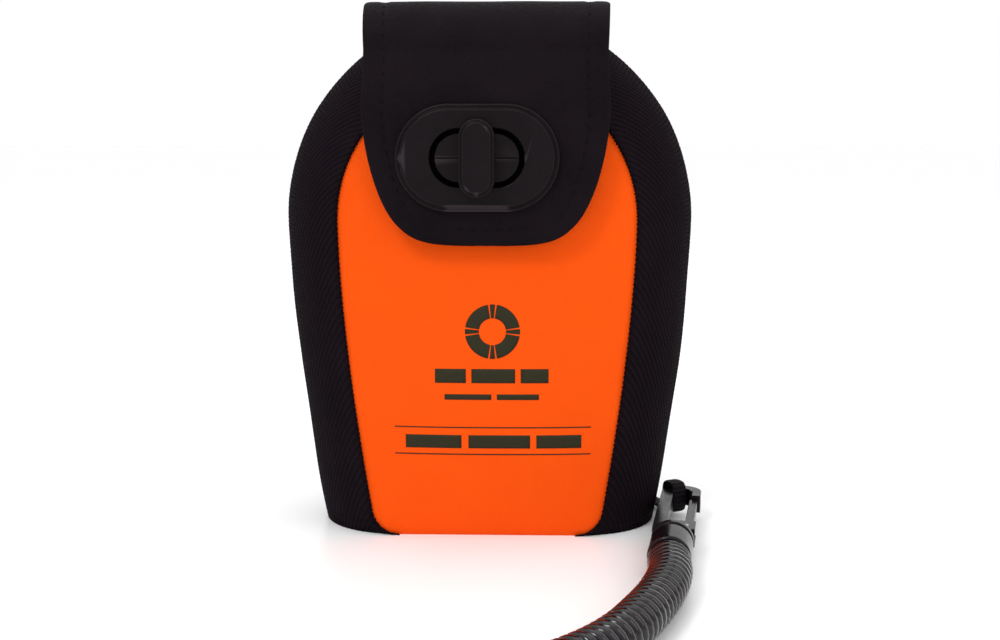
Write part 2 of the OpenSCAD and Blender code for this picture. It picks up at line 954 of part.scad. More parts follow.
front_panel();
back_panel();
left_gusset();
right_gusset();
base_panel();
mouth_binding();
flap_anchor();
flap_top();
flap_front();
belt_loop();
eyelet_plate();
eyelet_back_plate();
stud_base();
stud_washer();
turn_knob();
knob_retainer();
detent_spring();
front_housing();
rear_housing();
housing_gasket();
housing_screws();
antenna_lid();
lid_gasket();
lid_hinge_pin();
lid_latch();
antenna_coil();
antenna_post();
strobe_lens();
strobe_led();
distress_button();
distress_seal();
test_button();
test_seal();
circuit_board();
gps_antenna();
battery_cells();
battery_holder();
lanyard_tab();
near_hook();
near_gate();
near_gate_pin();
near_sleeve();
near_collar();
lanyard_coil();
far_sleeve();
far_collar();
far_hook();
far_gate();
far_gate_pin();
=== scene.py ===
"""The looks of an emergency position beacon in its standing pouch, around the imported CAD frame.

Lengths in this script are millimetres until a mesh is made, which then is in metres.
"""

import math

import bmesh
import bpy
import numpy as np
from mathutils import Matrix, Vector, noise
from mathutils.bvhtree import BVHTree


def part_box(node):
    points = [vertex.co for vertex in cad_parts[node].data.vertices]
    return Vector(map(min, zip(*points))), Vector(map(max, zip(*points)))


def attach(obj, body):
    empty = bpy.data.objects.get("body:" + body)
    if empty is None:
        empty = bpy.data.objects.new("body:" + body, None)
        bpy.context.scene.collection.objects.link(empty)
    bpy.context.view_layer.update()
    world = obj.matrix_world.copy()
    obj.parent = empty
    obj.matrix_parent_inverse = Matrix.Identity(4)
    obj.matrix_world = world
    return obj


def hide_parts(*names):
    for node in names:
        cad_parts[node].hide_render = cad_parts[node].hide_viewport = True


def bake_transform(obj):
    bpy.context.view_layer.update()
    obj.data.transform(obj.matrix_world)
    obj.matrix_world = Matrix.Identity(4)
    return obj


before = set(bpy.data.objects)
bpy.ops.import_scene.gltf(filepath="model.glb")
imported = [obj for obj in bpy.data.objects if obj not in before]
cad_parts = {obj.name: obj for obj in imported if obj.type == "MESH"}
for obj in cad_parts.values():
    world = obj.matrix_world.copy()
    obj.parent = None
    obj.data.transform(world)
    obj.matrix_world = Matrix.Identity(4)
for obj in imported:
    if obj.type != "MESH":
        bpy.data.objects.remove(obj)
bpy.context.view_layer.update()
MM = 0.001

# The side webbing's herringbone: how far apart its ridges are up the tape, and how steeply they climb.
TWILL_PITCH = 2.3
TWILL_SLOPE = 1.9

# The plain tape's cross ribs.
TAPE_PITCH = 1.1
RIB_HEIGHT = 0.05


# ---- sizes, from the frame

def box_mm(node):
    """The lowest and highest corner of a CAD node, in millimetres."""
    return [np.array(corner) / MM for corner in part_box(node)]


BELLY_R, BACK_OUT, MOUTH_H = box_mm("back_panel")[1]
FACE_Y = BACK_OUT
PANEL_T = BACK_OUT - box_mm("back_panel")[0][1]
DOME = -box_mm("front_panel")[0][1] - FACE_Y
BASE_SHARE, SHOULDER_SHARE = 0.764, 0.82
BASE_HALF = BASE_SHARE * BELLY_R
BELLY_H = MOUTH_H - SHOULDER_SHARE * BELLY_R
CORNER_R = 6.0
WEB_T = 1.5
SIDE_BOW = 15.0
CHORD = BACK_OUT - PANEL_T / 2
FLAP_HALF, _, FLAP_TOP = box_mm("flap_top")[1]
FLAP_LOW = box_mm("flap_front")[0][2]
FLAP_BACK_LOW = box_mm("flap_anchor")[0][2]
FLAP_T = 3.5
FOLD_R = 12.0
RISER_Y = box_mm("flap_anchor")[1][1]
FLAP_OUT = 27.8
HANG_Y = FACE_Y + 5
SPLIT_Y = -13.4
LOCK_X, _, LOCK_Z = sum(box_mm("eyelet_plate")) / 2
EYELET_W, EYELET_H = 23.0, 14.2

# The lanyard's route on the floor, as in the part's source, and its real length.
AXIS_Z = 5.3
ROUTE = [
    (43.5, -54), (42.6, -66), (39.6, -78), (35, -90.5), (29.5, -102.5), (22, -113.5),
    (12.5, -122.5), (1, -128.5), (-11.5, -131.5), (-24.5, -131.5),
]
NEAR_ANGLE = math.radians(81)
NEAR_REACH = 51.4
CORD_LENGTH = 1075.0
CORD_D = 2.8
COIL_R = 3.8
TURN_POINTS = 20
ROUTE_STEPS = 24


# ---- mesh helpers

SHARP_ANGLE = 35
MERGE_DISTANCE = 0.002
FLAT_ANGLE = 1.5


def add_object(name, data):
    """An object in the scene, from a mesh, curve, camera or light."""
    made = bpy.data.objects.new(name, data)
    bpy.context.scene.collection.objects.link(made)
    return made


def new_piece(name, points, faces, material):
    """A smooth-shaded mesh object from points in millimetres."""
    mesh = bpy.data.meshes.new(name)
    mesh.from_pydata([tuple(MM * c for c in p) for p in points], [], faces)
    mesh.validate()
    piece = add_object(name, mesh)
    bm = bmesh.new()
    bm.from_mesh(mesh)
    bmesh.ops.recalc_face_normals(bm, faces=bm.faces)
    bm.to_mesh(mesh)
    bm.free()
    mesh.materials.append(material)
    shade_smooth(piece)
    return piece


def shade_smooth(piece):
    for face in piece.data.polygons:
        face.use_smooth = True


def place(piece, body, replaced=()):
    """Rides the piece on a body and hides the CAD nodes that it stands for."""
    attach(piece, body)
    if replaced:
        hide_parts(*replaced)
    return piece


def apply_modifiers(piece):
    """Turns the piece's modifiers into plain mesh."""
    bpy.context.view_layer.update()
    graph = bpy.context.evaluated_depsgraph_get()
    made = bpy.data.meshes.new_from_object(piece.evaluated_get(graph), depsgraph=graph)
    piece.modifiers.clear()
    old = piece.data
    piece.data = made
    made.name = piece.name
    bpy.data.meshes.remove(old)


def round_edges(piece, width, segments=3):
    """Rounds the sharp edges of a piece by width millimetres."""
    bevel = piece.modifiers.new("round", "BEVEL")
    bevel.width = width * MM
    bevel.segments = segments
    bevel.limit_method = "ANGLE"
    bevel.angle_limit = math.radians(SHARP_ANGLE)
    bevel.use_clamp_overlap = True
    shade_smooth(piece)
    faces = piece.modifiers.new("faces", "WEIGHTED_NORMAL")
    faces.weight = 90
    apply_modifiers(piece)


def join(name, pieces):
    """One object from several."""
    bpy.ops.object.select_all(action="DESELECT")
    for piece in pieces:
        piece.select_set(True)
    bpy.context.view_layer.objects.active = pieces[0]
    bpy.ops.object.join()
    pieces[0].name = name
    pieces[0].data.name = name
    return pieces[0]


def shell(outer, inner):
    """Points and faces of a closed solid between two grids of the same size."""
    rows, cols = len(outer), len(outer[0])
    count = rows * cols
    points = [p for row in outer for p in row] + [p for row in inner for p in row]
    faces = []
    for i in range(rows - 1):
        for j in range(cols - 1):
            a, b = i * cols + j, (i + 1) * cols + j
            faces.append((a, a + 1, b + 1, b))
            faces.append((count + a, count + b, count + b + 1, count + a + 1))
    for j in range(cols - 1):
        for a in (j, (rows - 1) * cols + j):
            faces.append((a, count + a, count + a + 1, a + 1))
    for i in range(rows - 1):
        for a in (i * cols, i * cols + cols - 1):
            faces.append((a, a + cols, count + a + cols, count + a))
    return points, faces


def shell_piece(name, outer, inner, material):
    return new_piece(name, *shell(outer, inner), material)


def mark_weave(piece, along, across):
    """Stores where each point lies on the cloth, in millimetres, for the weave to follow."""
    layer = piece.data.attributes.new("weave", "FLOAT_VECTOR", "POINT")
    values = np.zeros((len(piece.data.vertices), 3), np.float32)
    values[:, 0], values[:, 1] = along, across
    layer.data.foreach_set("vector", values.ravel())


def woven_piece(name, rows, material):
    """A closed cloth solid. Each cell of its rows holds its outer point, its inner point, and how far
    along and across the cloth it lies."""
    outer, inner, along, across = ([[cell[k] for cell in row] for row in rows] for k in range(4))
    piece = shell_piece(name, outer, inner, material)
    mark_weave(piece, sum(along, []) * 2, sum(across, []) * 2)
    return piece


def prism(low, high):
    """Points and faces of a closed solid between two outlines with the same number of points."""
    count = len(low)
    faces = [tuple(range(count)), tuple(range(2 * count - 1, count - 1, -1))]
    faces += [(k, k + count, (k + 1) % count + count, (k + 1) % count) for k in range(count)]
    return low + high, faces


def rounded_copy(node, name, material, width, body, segments=3):
    """A piece with the CAD node's own shape and rounded edges, in that node's place."""
    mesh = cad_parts[node].data.copy()
    mesh.name = name
    bm = bmesh.new()
    bm.from_mesh(mesh)
    bmesh.ops.remove_doubles(bm, verts=bm.verts, dist=MERGE_DISTANCE * MM)
    bmesh.ops.dissolve_limit(bm, angle_limit=math.radians(FLAT_ANGLE), verts=bm.verts, edges=bm.edges)
    bmesh.ops.recalc_face_normals(bm, faces=bm.faces)
    bm.to_mesh(mesh)
    bm.free()
    mesh.materials.clear()
    mesh.materials.append(material)
    mesh.polygons.foreach_set("material_index", [0] * len(mesh.polygons))
    piece = add_object(name, mesh)
    round_edges(piece, width, segments)
    return place(piece, body, (node,))


# ---- paths

def unit(vector):
    return vector / np.linalg.norm(vector)


def distances(path):
    """How far along a path each of its points is."""
    return np.concatenate([[0], np.cumsum(np.linalg.norm(np.diff(path, axis=0), axis=1))])


def point_at(s, run, path):
    """The point of a path at a distance along it."""
    return np.array([np.interp(s, run, column) for column in path.T])


def way_at(s, run, path, reach):
    """The way a path goes at a distance along it, between the points that are reach away on both sides."""
    return unit(point_at(min(s + reach, run[-1]), run, path) - point_at(max(s - reach, 0), run, path))


def curve_through(points, steps=8):
    """A Catmull-Rom curve through a few points."""
    knots = [np.array(p, float) for p in points]
    ends = [2 * knots[0] - knots[1], *knots, 2 * knots[-1] - knots[-2]]
    line = []
    for a, b, c, d in zip(ends, ends[1:], ends[2:], ends[3:]):
        for t in np.arange(steps) / steps:
            line.append(0.5 * (2 * b + (c - a) * t + (2 * a - 5 * b + 4 * c - d) * t * t
                               + (3 * b - a - 3 * c + d) * t ** 3))
    return np.array([*line, knots[-1]])


# ---- materials

def add_node(tree, kind, inputs=(), **settings):
    """A shader node whose inputs are values or other nodes' sockets."""
    node = tree.nodes.new(kind)
    for key, value in settings.items():
        setattr(node, key, value)
    for key, value in dict(inputs).items():
        if isinstance(value, bpy.types.NodeSocket):
            tree.links.new(value, node.inputs[key])
        else:
            node.inputs[key].default_value = value
    return node


def add_ramp(tree, source, low, high, from_low, from_high):
    inputs = {"Value": source, "From Min": from_low, "From Max": from_high, "To Min": low, "To Max": high}
    return add_node(tree, "ShaderNodeMapRange", inputs).outputs["Result"]


class Look:
    """A material that is built up from nodes."""

    def __init__(self, name, color, roughness, **sockets):
        self.material = bpy.data.materials.new(name)
        self.material.use_nodes = True
        self.tree = self.material.node_tree
        self.shader = self.tree.nodes["Principled BSDF"]
        for socket, value in {"Base_Color": (*color, 1), "Roughness": roughness, **sockets}.items():
            self.shader.inputs[socket.replace("_", " ")].default_value = value
        self.base = (*color, 1)
        self.height = None
        self.coordinates = self.add("ShaderNodeTexCoord").outputs["Object"]

    def add(self, kind, inputs=(), **settings):
        return add_node(self.tree, kind, inputs, **settings)

    def link(self, source, target):
        self.tree.links.new(source, self.shader.inputs[target])

    def noise(self, size, detail=2.0):
        """Cloudy noise with blobs of about size millimetres, from 0 to 1."""
        inputs = {"Vector": self.coordinates, "Scale": 1 / (size * MM), "Detail": detail}
        return self.add("ShaderNodeTexNoise", inputs).outputs["Fac"]

    def mapped(self, inputs):
        """The object's coordinates, turned or stretched."""
        return self.add("ShaderNodeMapping", {"Vector": self.coordinates, **inputs}).outputs[0]

    def math(self, operation, a, b=0.0, c=0.0):
        return self.add("ShaderNodeMath", enumerate((a, b, c)), operation=operation).outputs[0]

    def sine(self, source, pitch):
        """Waves with a pitch in the source's own unit, from -1 to 1."""
        return self.math("SINE", self.math("MULTIPLY", source, 2 * math.pi / pitch))

    def half_up(self, source):
        """Takes -1 to 1 to 0 to 1."""
        return self.math("MULTIPLY_ADD", source, 0.5, 0.5)

    def ridges(self, source, pitch):
        return self.half_up(self.sine(source, pitch))

    def ramp(self, source, low, high, from_low=0.0, from_high=1.0):
        return add_ramp(self.tree, source, low, high, from_low, from_high)

    def tint(self, mask, color):
        """Mixes a second colour in where the mask is high."""
        # sockets 0, 6 and 7 of a colour Mix node are its factor and its two colours
        mix = self.add("ShaderNodeMix", {0: mask, 6: self.base, 7: (*color, 1)}, data_type="RGBA")
        self.base = mix.outputs[2]
        self.link(self.base, "Base Color")

    def rough(self, source, low, high):
        self.link(self.ramp(source, low, high, 0.3, 0.7), "Roughness")

    def raise_by(self, source, depth):
        """Adds a relief of depth millimetres."""
        bump = self.add("ShaderNodeBump", {"Height": source, "Distance": depth * MM, "Strength": 1.0})
        if self.height is not None:
            self.tree.links.new(self.height, bump.inputs["Normal"])
        self.height = bump.outputs["Normal"]
        self.link(self.height, "Normal")

    def parts(self, source):
        return self.add("ShaderNodeSeparateXYZ", {"Vector": source}).outputs

    def mottle(self, size, detail, color, share, start, end, depth, smooth, dull):
        """Clouds that tint, raise and roughen the surface together. Returns the material."""
        cloud = self.noise(size, detail)
        self.tint(self.ramp(cloud, 0.0, share, start, end), color)
        self.raise_by(cloud, depth)
        self.rough(cloud, smooth, dull)
        return self.material

    def woven(self):
        """The cloth's own coordinates, in millimetres."""
        return self.add("ShaderNodeAttribute", attribute_name="weave").outputs["Vector"]

    def mm_coordinates(self):
        inputs = {0: self.coordinates, "Scale": 1 / MM}
        return self.add("ShaderNodeVectorMath", inputs, operation="SCALE").outputs[0]

    def paint_edge_highlight(self, color):
        """Lightens the sharp edges: a painted highlight along them."""
        pointy = self.add("ShaderNodeNewGeometry").outputs["Pointiness"]
        self.tint(self.ramp(pointy, 0.0, 1.0, 0.52, 0.6), color)


def knit_neoprene(name, color, shade):
    """Padded foam cloth with a fine knitted face."""
    look = Look(name, color, 0.78, Specular_IOR_Level=0.1)
    x, _, z = look.parts(look.mm_coordinates())
    knit = look.half_up(look.math("MULTIPLY", look.sine(z, 0.55), look.sine(x, 0.42)))
    look.tint(look.ramp(look.noise(14.0, 3.0), 0.0, 0.42, 0.35, 0.7), shade)
    look.tint(look.ramp(knit, 0.0, 0.12), shade)
    look.raise_by(look.noise(6.0), 0.12)
    look.raise_by(knit, 0.035)
    look.rough(look.noise(1.2, 3.0), 0.7, 0.86)
    return look.material


def twill_webbing(name, color, light):
    """Herringbone tape: slanting ridges that turn round at each stripe."""
    look = Look(name, color, 0.72, Specular_IOR_Level=0.05)
    along, across, _ = look.parts(look.woven())
    stripe = look.math("PINGPONG", look.math("ADD", across, 200.0), 25.0)
    slant = look.math("MULTIPLY_ADD", stripe, -TWILL_SLOPE, along)
    ridge = look.ridges(slant, TWILL_PITCH)
    yarn = look.ridges(across, 0.55)
    fuzz = look.noise(0.5, 3.0)
    look.tint(look.math("MULTIPLY", ridge, look.ramp(fuzz, 0.2, 1.0, 0.3, 0.7)), light)
    look.tint(look.ramp(look.noise(18.0), 0.0, 0.35, 0.4, 0.7), light)
    look.raise_by(ridge, 0.22)
    look.raise_by(yarn, 0.05)
    look.raise_by(fuzz, 0.05)
    look.rough(fuzz, 0.6, 0.85)
    return look.material


def plain_tape(name, color, light, pitch):
    """Flat nylon tape with ribs across it."""
    look = Look(name, color, 0.6, Specular_IOR_Level=0.07)
    along, across, _ = look.parts(look.woven())
    ribs = look.ridges(along, pitch)
    yarn = look.ridges(across, 0.6)
    fuzz = look.noise(0.5, 3.0)
    look.tint(look.math("MULTIPLY", ribs, look.ramp(fuzz, 0.1, 0.8, 0.3, 0.7)), light)
    look.raise_by(ribs, 0.16)
    look.raise_by(yarn, 0.05)
    look.rough(fuzz, 0.5, 0.75)
    return look.material


def flap_cloth(name, color, light):
    """Coated pack cloth over a stiff board: a fine plain weave with a dull film."""
    look = Look(name, color, 0.6, Specular_IOR_Level=0.05)
    along, across, _ = look.parts(look.woven())
    warp, weft = look.ridges(along, 0.7), look.ridges(across, 0.7)
    weave = look.math("MAXIMUM", look.math("MULTIPLY", warp, 0.9), weft)
    cloud = look.noise(16.0, 4.0)
    slub = look.noise(1.1, 3.0)
    look.tint(look.math("MULTIPLY", weave, look.ramp(slub, 0.1, 0.6, 0.3, 0.7)), light)
    look.tint(look.ramp(cloud, 0.0, 0.35, 0.4, 0.72), light)
    look.raise_by(cloud, 0.25)
    look.raise_by(weave, 0.1)
    look.raise_by(slub, 0.14)
    look.rough(slub, 0.52, 0.72)
    return look.material


def moulded_plastic(name, color, light, roughness, shine=0.5):
    """Moulded plastic with a fine spark-eroded grain and a painted highlight along its edges."""
    look = Look(name, color, roughness, Specular_IOR_Level=shine)
    fine = look.noise(0.28, 2.0)
    cloud = look.noise(7.0, 3.0)
    look.tint(look.ramp(cloud, 0.0, 0.06, 0.4, 0.7), light)
    # the light colour is also painted along the sharp edges as a highlight
    look.paint_edge_highlight(light)
    look.raise_by(cloud, 0.03)
    look.raise_by(fine, 0.02)
    look.rough(cloud, roughness - 0.07, roughness + 0.1)
    return look.material


def glossy_cord(name, color, light):
    """Smooth, glossy urethane cord."""
    look = Look(name, color, 0.2, Specular_IOR_Level=0.3, Coat_Weight=0.3, Coat_Roughness=0.06)
    return look.mottle(3.0, 3.0, light, 0.25, 0.45, 0.7, 0.04, 0.1, 0.22)


def soft_rubber(name, color, light):
    """Silicone rubber with a faint bloom."""
    look = Look(name, color, 0.7, Specular_IOR_Level=0.3)
    bloom = look.noise(2.5, 4.0)
    look.tint(look.ramp(bloom, 0.0, 0.5, 0.4, 0.75), light)
    look.raise_by(look.noise(0.4, 3.0), 0.03)
    look.rough(bloom, 0.6, 0.85)
    return look.material


def plain_metal(name, color, roughness=0.3):
    """Drawn or turned steel with fine lines and small pits."""
    look = Look(name, color, roughness, Metallic=1.0)
    drawn = look.mapped({"Scale": (300.0, 4000.0, 300.0)})
    lines = look.add("ShaderNodeTexNoise", {"Vector": drawn, "Scale": 1.0, "Detail": 3.0}).outputs["Fac"]
    look.tint(look.ramp(look.noise(3.0, 4.0), 0.0, 0.4, 0.45, 0.7), tuple(c * 0.6 for c in color))
    look.raise_by(lines, 0.01)
    look.rough(lines, roughness - 0.08, roughness + 0.15)
    return look.material


def clear_plastic(name):
    look = Look(name, (0.86, 0.9, 0.95), 0.08, Transmission_Weight=0.9, IOR=1.49)
    return look.mottle(2.0, 3.0, (0.7, 0.74, 0.8), 0.3, 0.5, 0.8, 0.02, 0.05, 0.2)


def board_laminate(name):
    """Circuit board with tracks under its green mask."""
    look = Look(name, (0.012, 0.11, 0.035), 0.35, Coat_Weight=0.4)
    black, white = (0, 0, 0, 1), (1, 1, 1, 1)
    brick = look.add("ShaderNodeTexBrick", {
        "Vector": look.mapped({"Rotation": (math.pi / 2, 0, 0)}), "Scale": 220.0, "Mortar Size": 0.06,
        "Color1": black, "Color2": black, "Mortar": white,
    }).outputs["Color"]
    look.tint(brick, (0.03, 0.24, 0.07))
    look.raise_by(brick, 0.03)
    look.rough(look.noise(2.0), 0.28, 0.45)
    return look.material


def speckled(name, color, dots, size, roughness):
    """A fired or wrapped surface with small specks."""
    look = Look(name, color, roughness)
    return look.mottle(size, 4.0, dots, 0.8, 0.5, 0.7, 0.02, roughness - 0.08, roughness + 0.12)


def print_ink(name, color, light):
    """Screen print that lets a little of the knit through."""
    look = Look(name, color, 0.66, Specular_IOR_Level=0.3)
    return look.mottle(0.5, 3.0, light, 0.5, 0.5, 0.75, 0.04, 0.58, 0.75)


BLACK = (0.0035, 0.0018, 0.0032)
ORANGE = knit_neoprene("orange_neoprene", (0.95, 0.092, 0.0022), (0.9, 0.08, 0.0016))
BACK_CLOTH = knit_neoprene("black_neoprene", BLACK, (0.008, 0.006, 0.008))
TWILL = twill_webbing("black_webbing", BLACK, (0.0105, 0.0055, 0.0095))
TAPE = plain_tape("black_tape", (0.005, 0.0035, 0.005), (0.012, 0.009, 0.012), TAPE_PITCH)
FLAP = flap_cloth("flap_laminate", (0.0042, 0.0022, 0.0038), (0.0125, 0.0085, 0.0115))
THREAD = plain_tape("black_thread", (0.007, 0.005, 0.007), (0.018, 0.014, 0.018), 0.4)
# the second colour of each moulded plastic is also painted on its sharp edges as a highlight
LOCK = moulded_plastic("lock_plastic", (0.0035, 0.0018, 0.0028), (0.03, 0.024, 0.028), 0.36, 0.08)
HOOK = moulded_plastic("hook_plastic", (0.003, 0.0018, 0.0026), (0.014, 0.01, 0.013), 0.18, 0.2)
CORD = glossy_cord("coil_plastic", (0.004, 0.002, 0.0035), (0.016, 0.01, 0.015))
CASE = moulded_plastic("case_yellow", (0.86, 0.47, 0.012), (0.95, 0.62, 0.06), 0.42)
RED = moulded_plastic("red_plastic", (0.62, 0.018, 0.008), (0.75, 0.06, 0.03), 0.36)
RUBBER = soft_rubber("seal_rubber", (0.02, 0.02, 0.02), (0.06, 0.06, 0.058))
STEEL = plain_metal("steel", (0.62, 0.62, 0.64))
LENS = clear_plastic("clear_lens")
BOARD = board_laminate("board_green")
CERAMIC = speckled("ceramic", (0.55, 0.46, 0.3), (0.42, 0.34, 0.2), 1.0, 0.5)
CELL = speckled("cell_wrap", (0.02, 0.035, 0.16), (0.04, 0.06, 0.24), 2.0, 0.32)
LED = speckled("led_white", (0.8, 0.76, 0.6), (0.86, 0.84, 0.74), 0.6, 0.4)
INK = print_ink("print_ink", (0.016, 0.015, 0.002), (0.034, 0.026, 0.003))


# ---- camera, light and floor

CAMERA_AT = (0.0130, -0.3669, 0.1079)
CAMERA_AIM = (0.00331, -0.020, 0.05613)
LENS_MM = 50.1
STUDIO_DIM = 0.7
FLOOR_HALF = 4.0
FLOOR_Z = -0.02


def aimed(thing, at, aim):
    """Puts a camera or a light at a point, facing another."""
    thing.location = at
    thing.rotation_euler = (Vector(aim) - Vector(at)).to_track_quat("-Z", "Y").to_euler()


def set_camera():
    data = bpy.data.cameras.new("camera")
    data.lens = LENS_MM
    data.sensor_width = 36
    camera = add_object("camera", data)
    aimed(camera, CAMERA_AT, CAMERA_AIM)
    bpy.context.scene.camera = camera


def area_light(name, at, aim, width, height, power):
    data = bpy.data.lights.new(name, "AREA")
    data.shape = "RECTANGLE"
    data.size, data.size_y = width, height
    data.energy = power
    aimed(add_object(name, data), at, aim)


def set_studio():
    world = bpy.data.worlds.new("studio")
    bpy.context.scene.world = world
    world.use_nodes = True
    tree = world.node_tree
    toward = add_node(tree, "ShaderNodeTexCoord").outputs["Generated"]
    parts = add_node(tree, "ShaderNodeSeparateXYZ", {0: toward}).outputs
    behind = add_ramp(tree, parts["Y"], STUDIO_DIM, 1.0, -0.5, 0.3)
    overhead = add_ramp(tree, parts["Z"], STUDIO_DIM, 1.14, 0.3, 0.8)
    brightest = add_node(tree, "ShaderNodeMath", {0: behind, 1: overhead}, operation="MAXIMUM")
    tree.nodes["Background"].inputs[0].default_value = (1.0, 1.0, 1.0, 1)
    tree.links.new(brightest.outputs[0], tree.nodes["Background"].inputs[1])
    bpy.context.scene.view_settings.view_transform = "Standard"
    area_light("key", (-0.35, -0.55, 0.75), (0, 0, 0.06), 0.2, 0.2, 2.2)
    area_light("fill", (0.6, -0.3, 0.5), (0, 0, 0.06), 0.4, 0.6, 1.0)
    area_light("top", (0.0, 0.05, 0.9), (0, 0, 0), 0.7, 0.5, 1.0)
    half = FLOOR_HALF / MM
    corners = [(x, y, FLOOR_Z) for x, y in ((-half, -half), (half, -half), (half, half), (-half, half))]
    floor = new_piece("floor", corners, [(0, 1, 2, 3)], floor_look())


def floor_look():
    look = Look("studio_floor", (0.96, 0.96, 0.96), 0.3, Specular_IOR_Level=0.35)
    look.rough(look.noise(30.0), 0.3, 0.38)
    return look.material


set_camera()
set_studio()


# ---- the lanyard's cord

def coil_points():
    """The cord's centre line: a helix of the cord's real length round the route."""
    path = curve_through(ROUTE, ROUTE_STEPS)
    run = distances(path)
    total = run[-1]
    turns = math.sqrt(CORD_LENGTH ** 2 - total ** 2) / (2 * math.pi * COIL_R)
    count = int(turns * TURN_POINTS)
    points = []
    for k in range(count + 1):
        s = total * k / count
        at = point_at(s, run, path)
        way = way_at(s, run, path, 1)
        opening = min(1.0, min(k, count - k) / (0.8 * TURN_POINTS))
        radius = COIL_R * (0.12 + 0.88 * opening * opening * (3 - 2 * opening))
        angle = 2 * math.pi * turns * k / count + math.pi / 2
        side, lift = radius * math.cos(angle), radius * math.sin(angle)
        points.append((at[0] - way[1] * side, at[1] + way[0] * side, AXIS_Z + lift))
    return points


def make_cord():
    points = coil_points()
    curve = bpy.data.curves.new("lanyard_cord", "CURVE")
    curve.dimensions = "3D"
    curve.bevel_depth = CORD_D / 2 * MM
    curve.bevel_resolution = 3
    curve.use_fill_caps = True
    curve.materials.append(CORD)
    spline = curve.splines.new("POLY")
    spline.points.add(len(points) - 1)
    for knot, p in zip(spline.points, points):
        knot.co = (*(MM * c for c in p), 1)
    spline.use_smooth = True
    return place(add_object("lanyard_cord", curve), "pouch", ("lanyard_coil",))


lanyard = make_cord()


# ---- the pouch's shape

def straight_half(z):
    if z < BELLY_H:
        return BELLY_R - (BELLY_R - BASE_HALF) * ((BELLY_H - z) / BELLY_H) ** 1.6
    return math.sqrt(max(0.0, BELLY_R ** 2 - (z - BELLY_H) ** 2))


def corner_in(z):
    return CORNER_R - math.sqrt(CORNER_R ** 2 - (CORNER_R - z) ** 2) if z < CORNER_R else 0.0


def panel_half(z):
    return straight_half(z) - corner_in(z)


def dome(z, t):
    """How far the front panel bulges at a height and a share of its half width."""
    return DOME * (1 - t * t) * max(0.0, 1 - abs(2 * z / MOUTH_H - 1) ** 4)


def ripple(x, y, z, size, seed):
    """Soft unevenness of hand-sewn cloth, from -1 to 1, with waves of about size millimetres."""
    return noise.noise(Vector((x / size, y / size + seed, z / size)))


def panel_levels(count):
    """Heights of the panel's rows, closer together round the lower corners."""
    low = [CORNER_R * (1 - math.cos(math.pi / 2 * k / 10)) for k in range(10)]
    high = [CORNER_R + (MOUTH_H - CORNER_R) * k / count for k in range(count + 1)]
    return low + high


def panel_grids(count, cols, bulge, seed):
    """The outer and inner grids of a padded panel whose rim thins to its seam."""
    outer, inner = [], []
    for z in panel_levels(count):
        half = max(0.2, panel_half(z))
        from_end = min(z, MOUTH_H - z)
        out_row, in_row = [], []
        for k in range(-cols, cols + 1):
            t = math.sin(math.pi / 2 * k / cols)
            rim = min(half * (1 - abs(t)), from_end)
            thin = 0.75 * math.exp(-rim / 1.6)
            crown = dome(z, t) * bulge
            wave = 0.1 * ripple(t * half, 0, z, 17, seed)
            out_row.append((t * half, -(FACE_Y + crown + wave - thin), z))
            in_row.append((t * half, -(FACE_Y - PANEL_T), z))
        outer.append(out_row)
        inner.append(in_row)
    return outer, inner


CLOTH_FRAMES = 20


def swell(piece, cap, held):
    """Pads the piece with a short cloth simulation. Its rim is held, and no point moves further than
    cap(point) millimetres."""
    rest = np.array([v.co for v in piece.data.vertices])
    pinned = piece.vertex_groups.new(name="held")
    for k, point in enumerate(rest / MM):
        pinned.add([k], held(point), "REPLACE")
    cloth = piece.modifiers.new("pad", "CLOTH")
    settings = cloth.settings
    settings.quality = 5
    settings.mass = 0.15
    settings.tension_stiffness = 12
    settings.compression_stiffness = 12
    settings.bending_stiffness = 3
    settings.use_pressure = True
    settings.uniform_pressure_force = 4
    settings.vertex_group_mass = "held"
    settings.effector_weights.gravity = 0
    cloth.collision_settings.use_collision = False
    cloth.point_cache.frame_start, cloth.point_cache.frame_end = 1, CLOTH_FRAMES
    for step in range(1, CLOTH_FRAMES + 1):
        bpy.context.scene.frame_set(step)
    graph = bpy.context.evaluated_depsgraph_get()
    moved = np.array([v.co for v in piece.evaluated_get(graph).data.vertices])
    piece.modifiers.clear()
    piece.vertex_groups.clear()
    bpy.context.scene.frame_set(1)
    shift = moved - rest
    far = np.linalg.norm(shift, axis=1)
    limit = np.array([cap(point) for point in rest / MM]) * MM
    scale = np.where(far > 1e-9, limit * np.tanh(far / np.maximum(limit, 1e-9)) / np.maximum(far, 1e-9), 0)
    piece.data.vertices.foreach_set("co", (rest + shift * scale[:, None]).ravel())
    piece.data.update()


def make_front_panel():
    outer, inner = panel_grids(84, 30, 1.0, 3)
    panel = shell_piece("orange_front", outer, inner, ORANGE)

    def cap(point):
        return 1.0 if point[1] < -FACE_Y + 0.6 and point[2] < FLAP_LOW - 3 else 0.12

    def held(point):
        rim = min(panel_half(max(0, point[2])) - abs(point[0]), point[2], MOUTH_H - point[2])
        return 1.0 if rim < 1.2 or point[1] > -FACE_Y + PANEL_T - 0.1 else 0.0

    swell(panel, cap, held)
    return place(panel, "pouch", ("front_panel",))


def make_back_panel():
    turned = [[[(-x, -y, z) for x, y, z in row] for row in grid] for grid in panel_grids(60, 24, 0.0, 8)]
    panel = shell_piece("padded_back", *turned, BACK_CLOTH)
    return place(panel, "pouch", ("back_panel",))


front = make_front_panel()
make_back_panel()


# ---- the side webbing

def bow_at(z):
    return SIDE_BOW - WEB_T / 2 - 0.9 + corner_in(z)


def arc_r(z):
    bow = bow_at(z)
    return (CHORD ** 2 + bow ** 2) / (2 * bow)


def arc_half(z):
    return math.acos((arc_r(z) - bow_at(z)) / arc_r(z))


MOUTH_ANG = math.asin((MOUTH_H - BELLY_H) / BELLY_R)
ARCH_R = BELLY_R + SIDE_BOW - 3

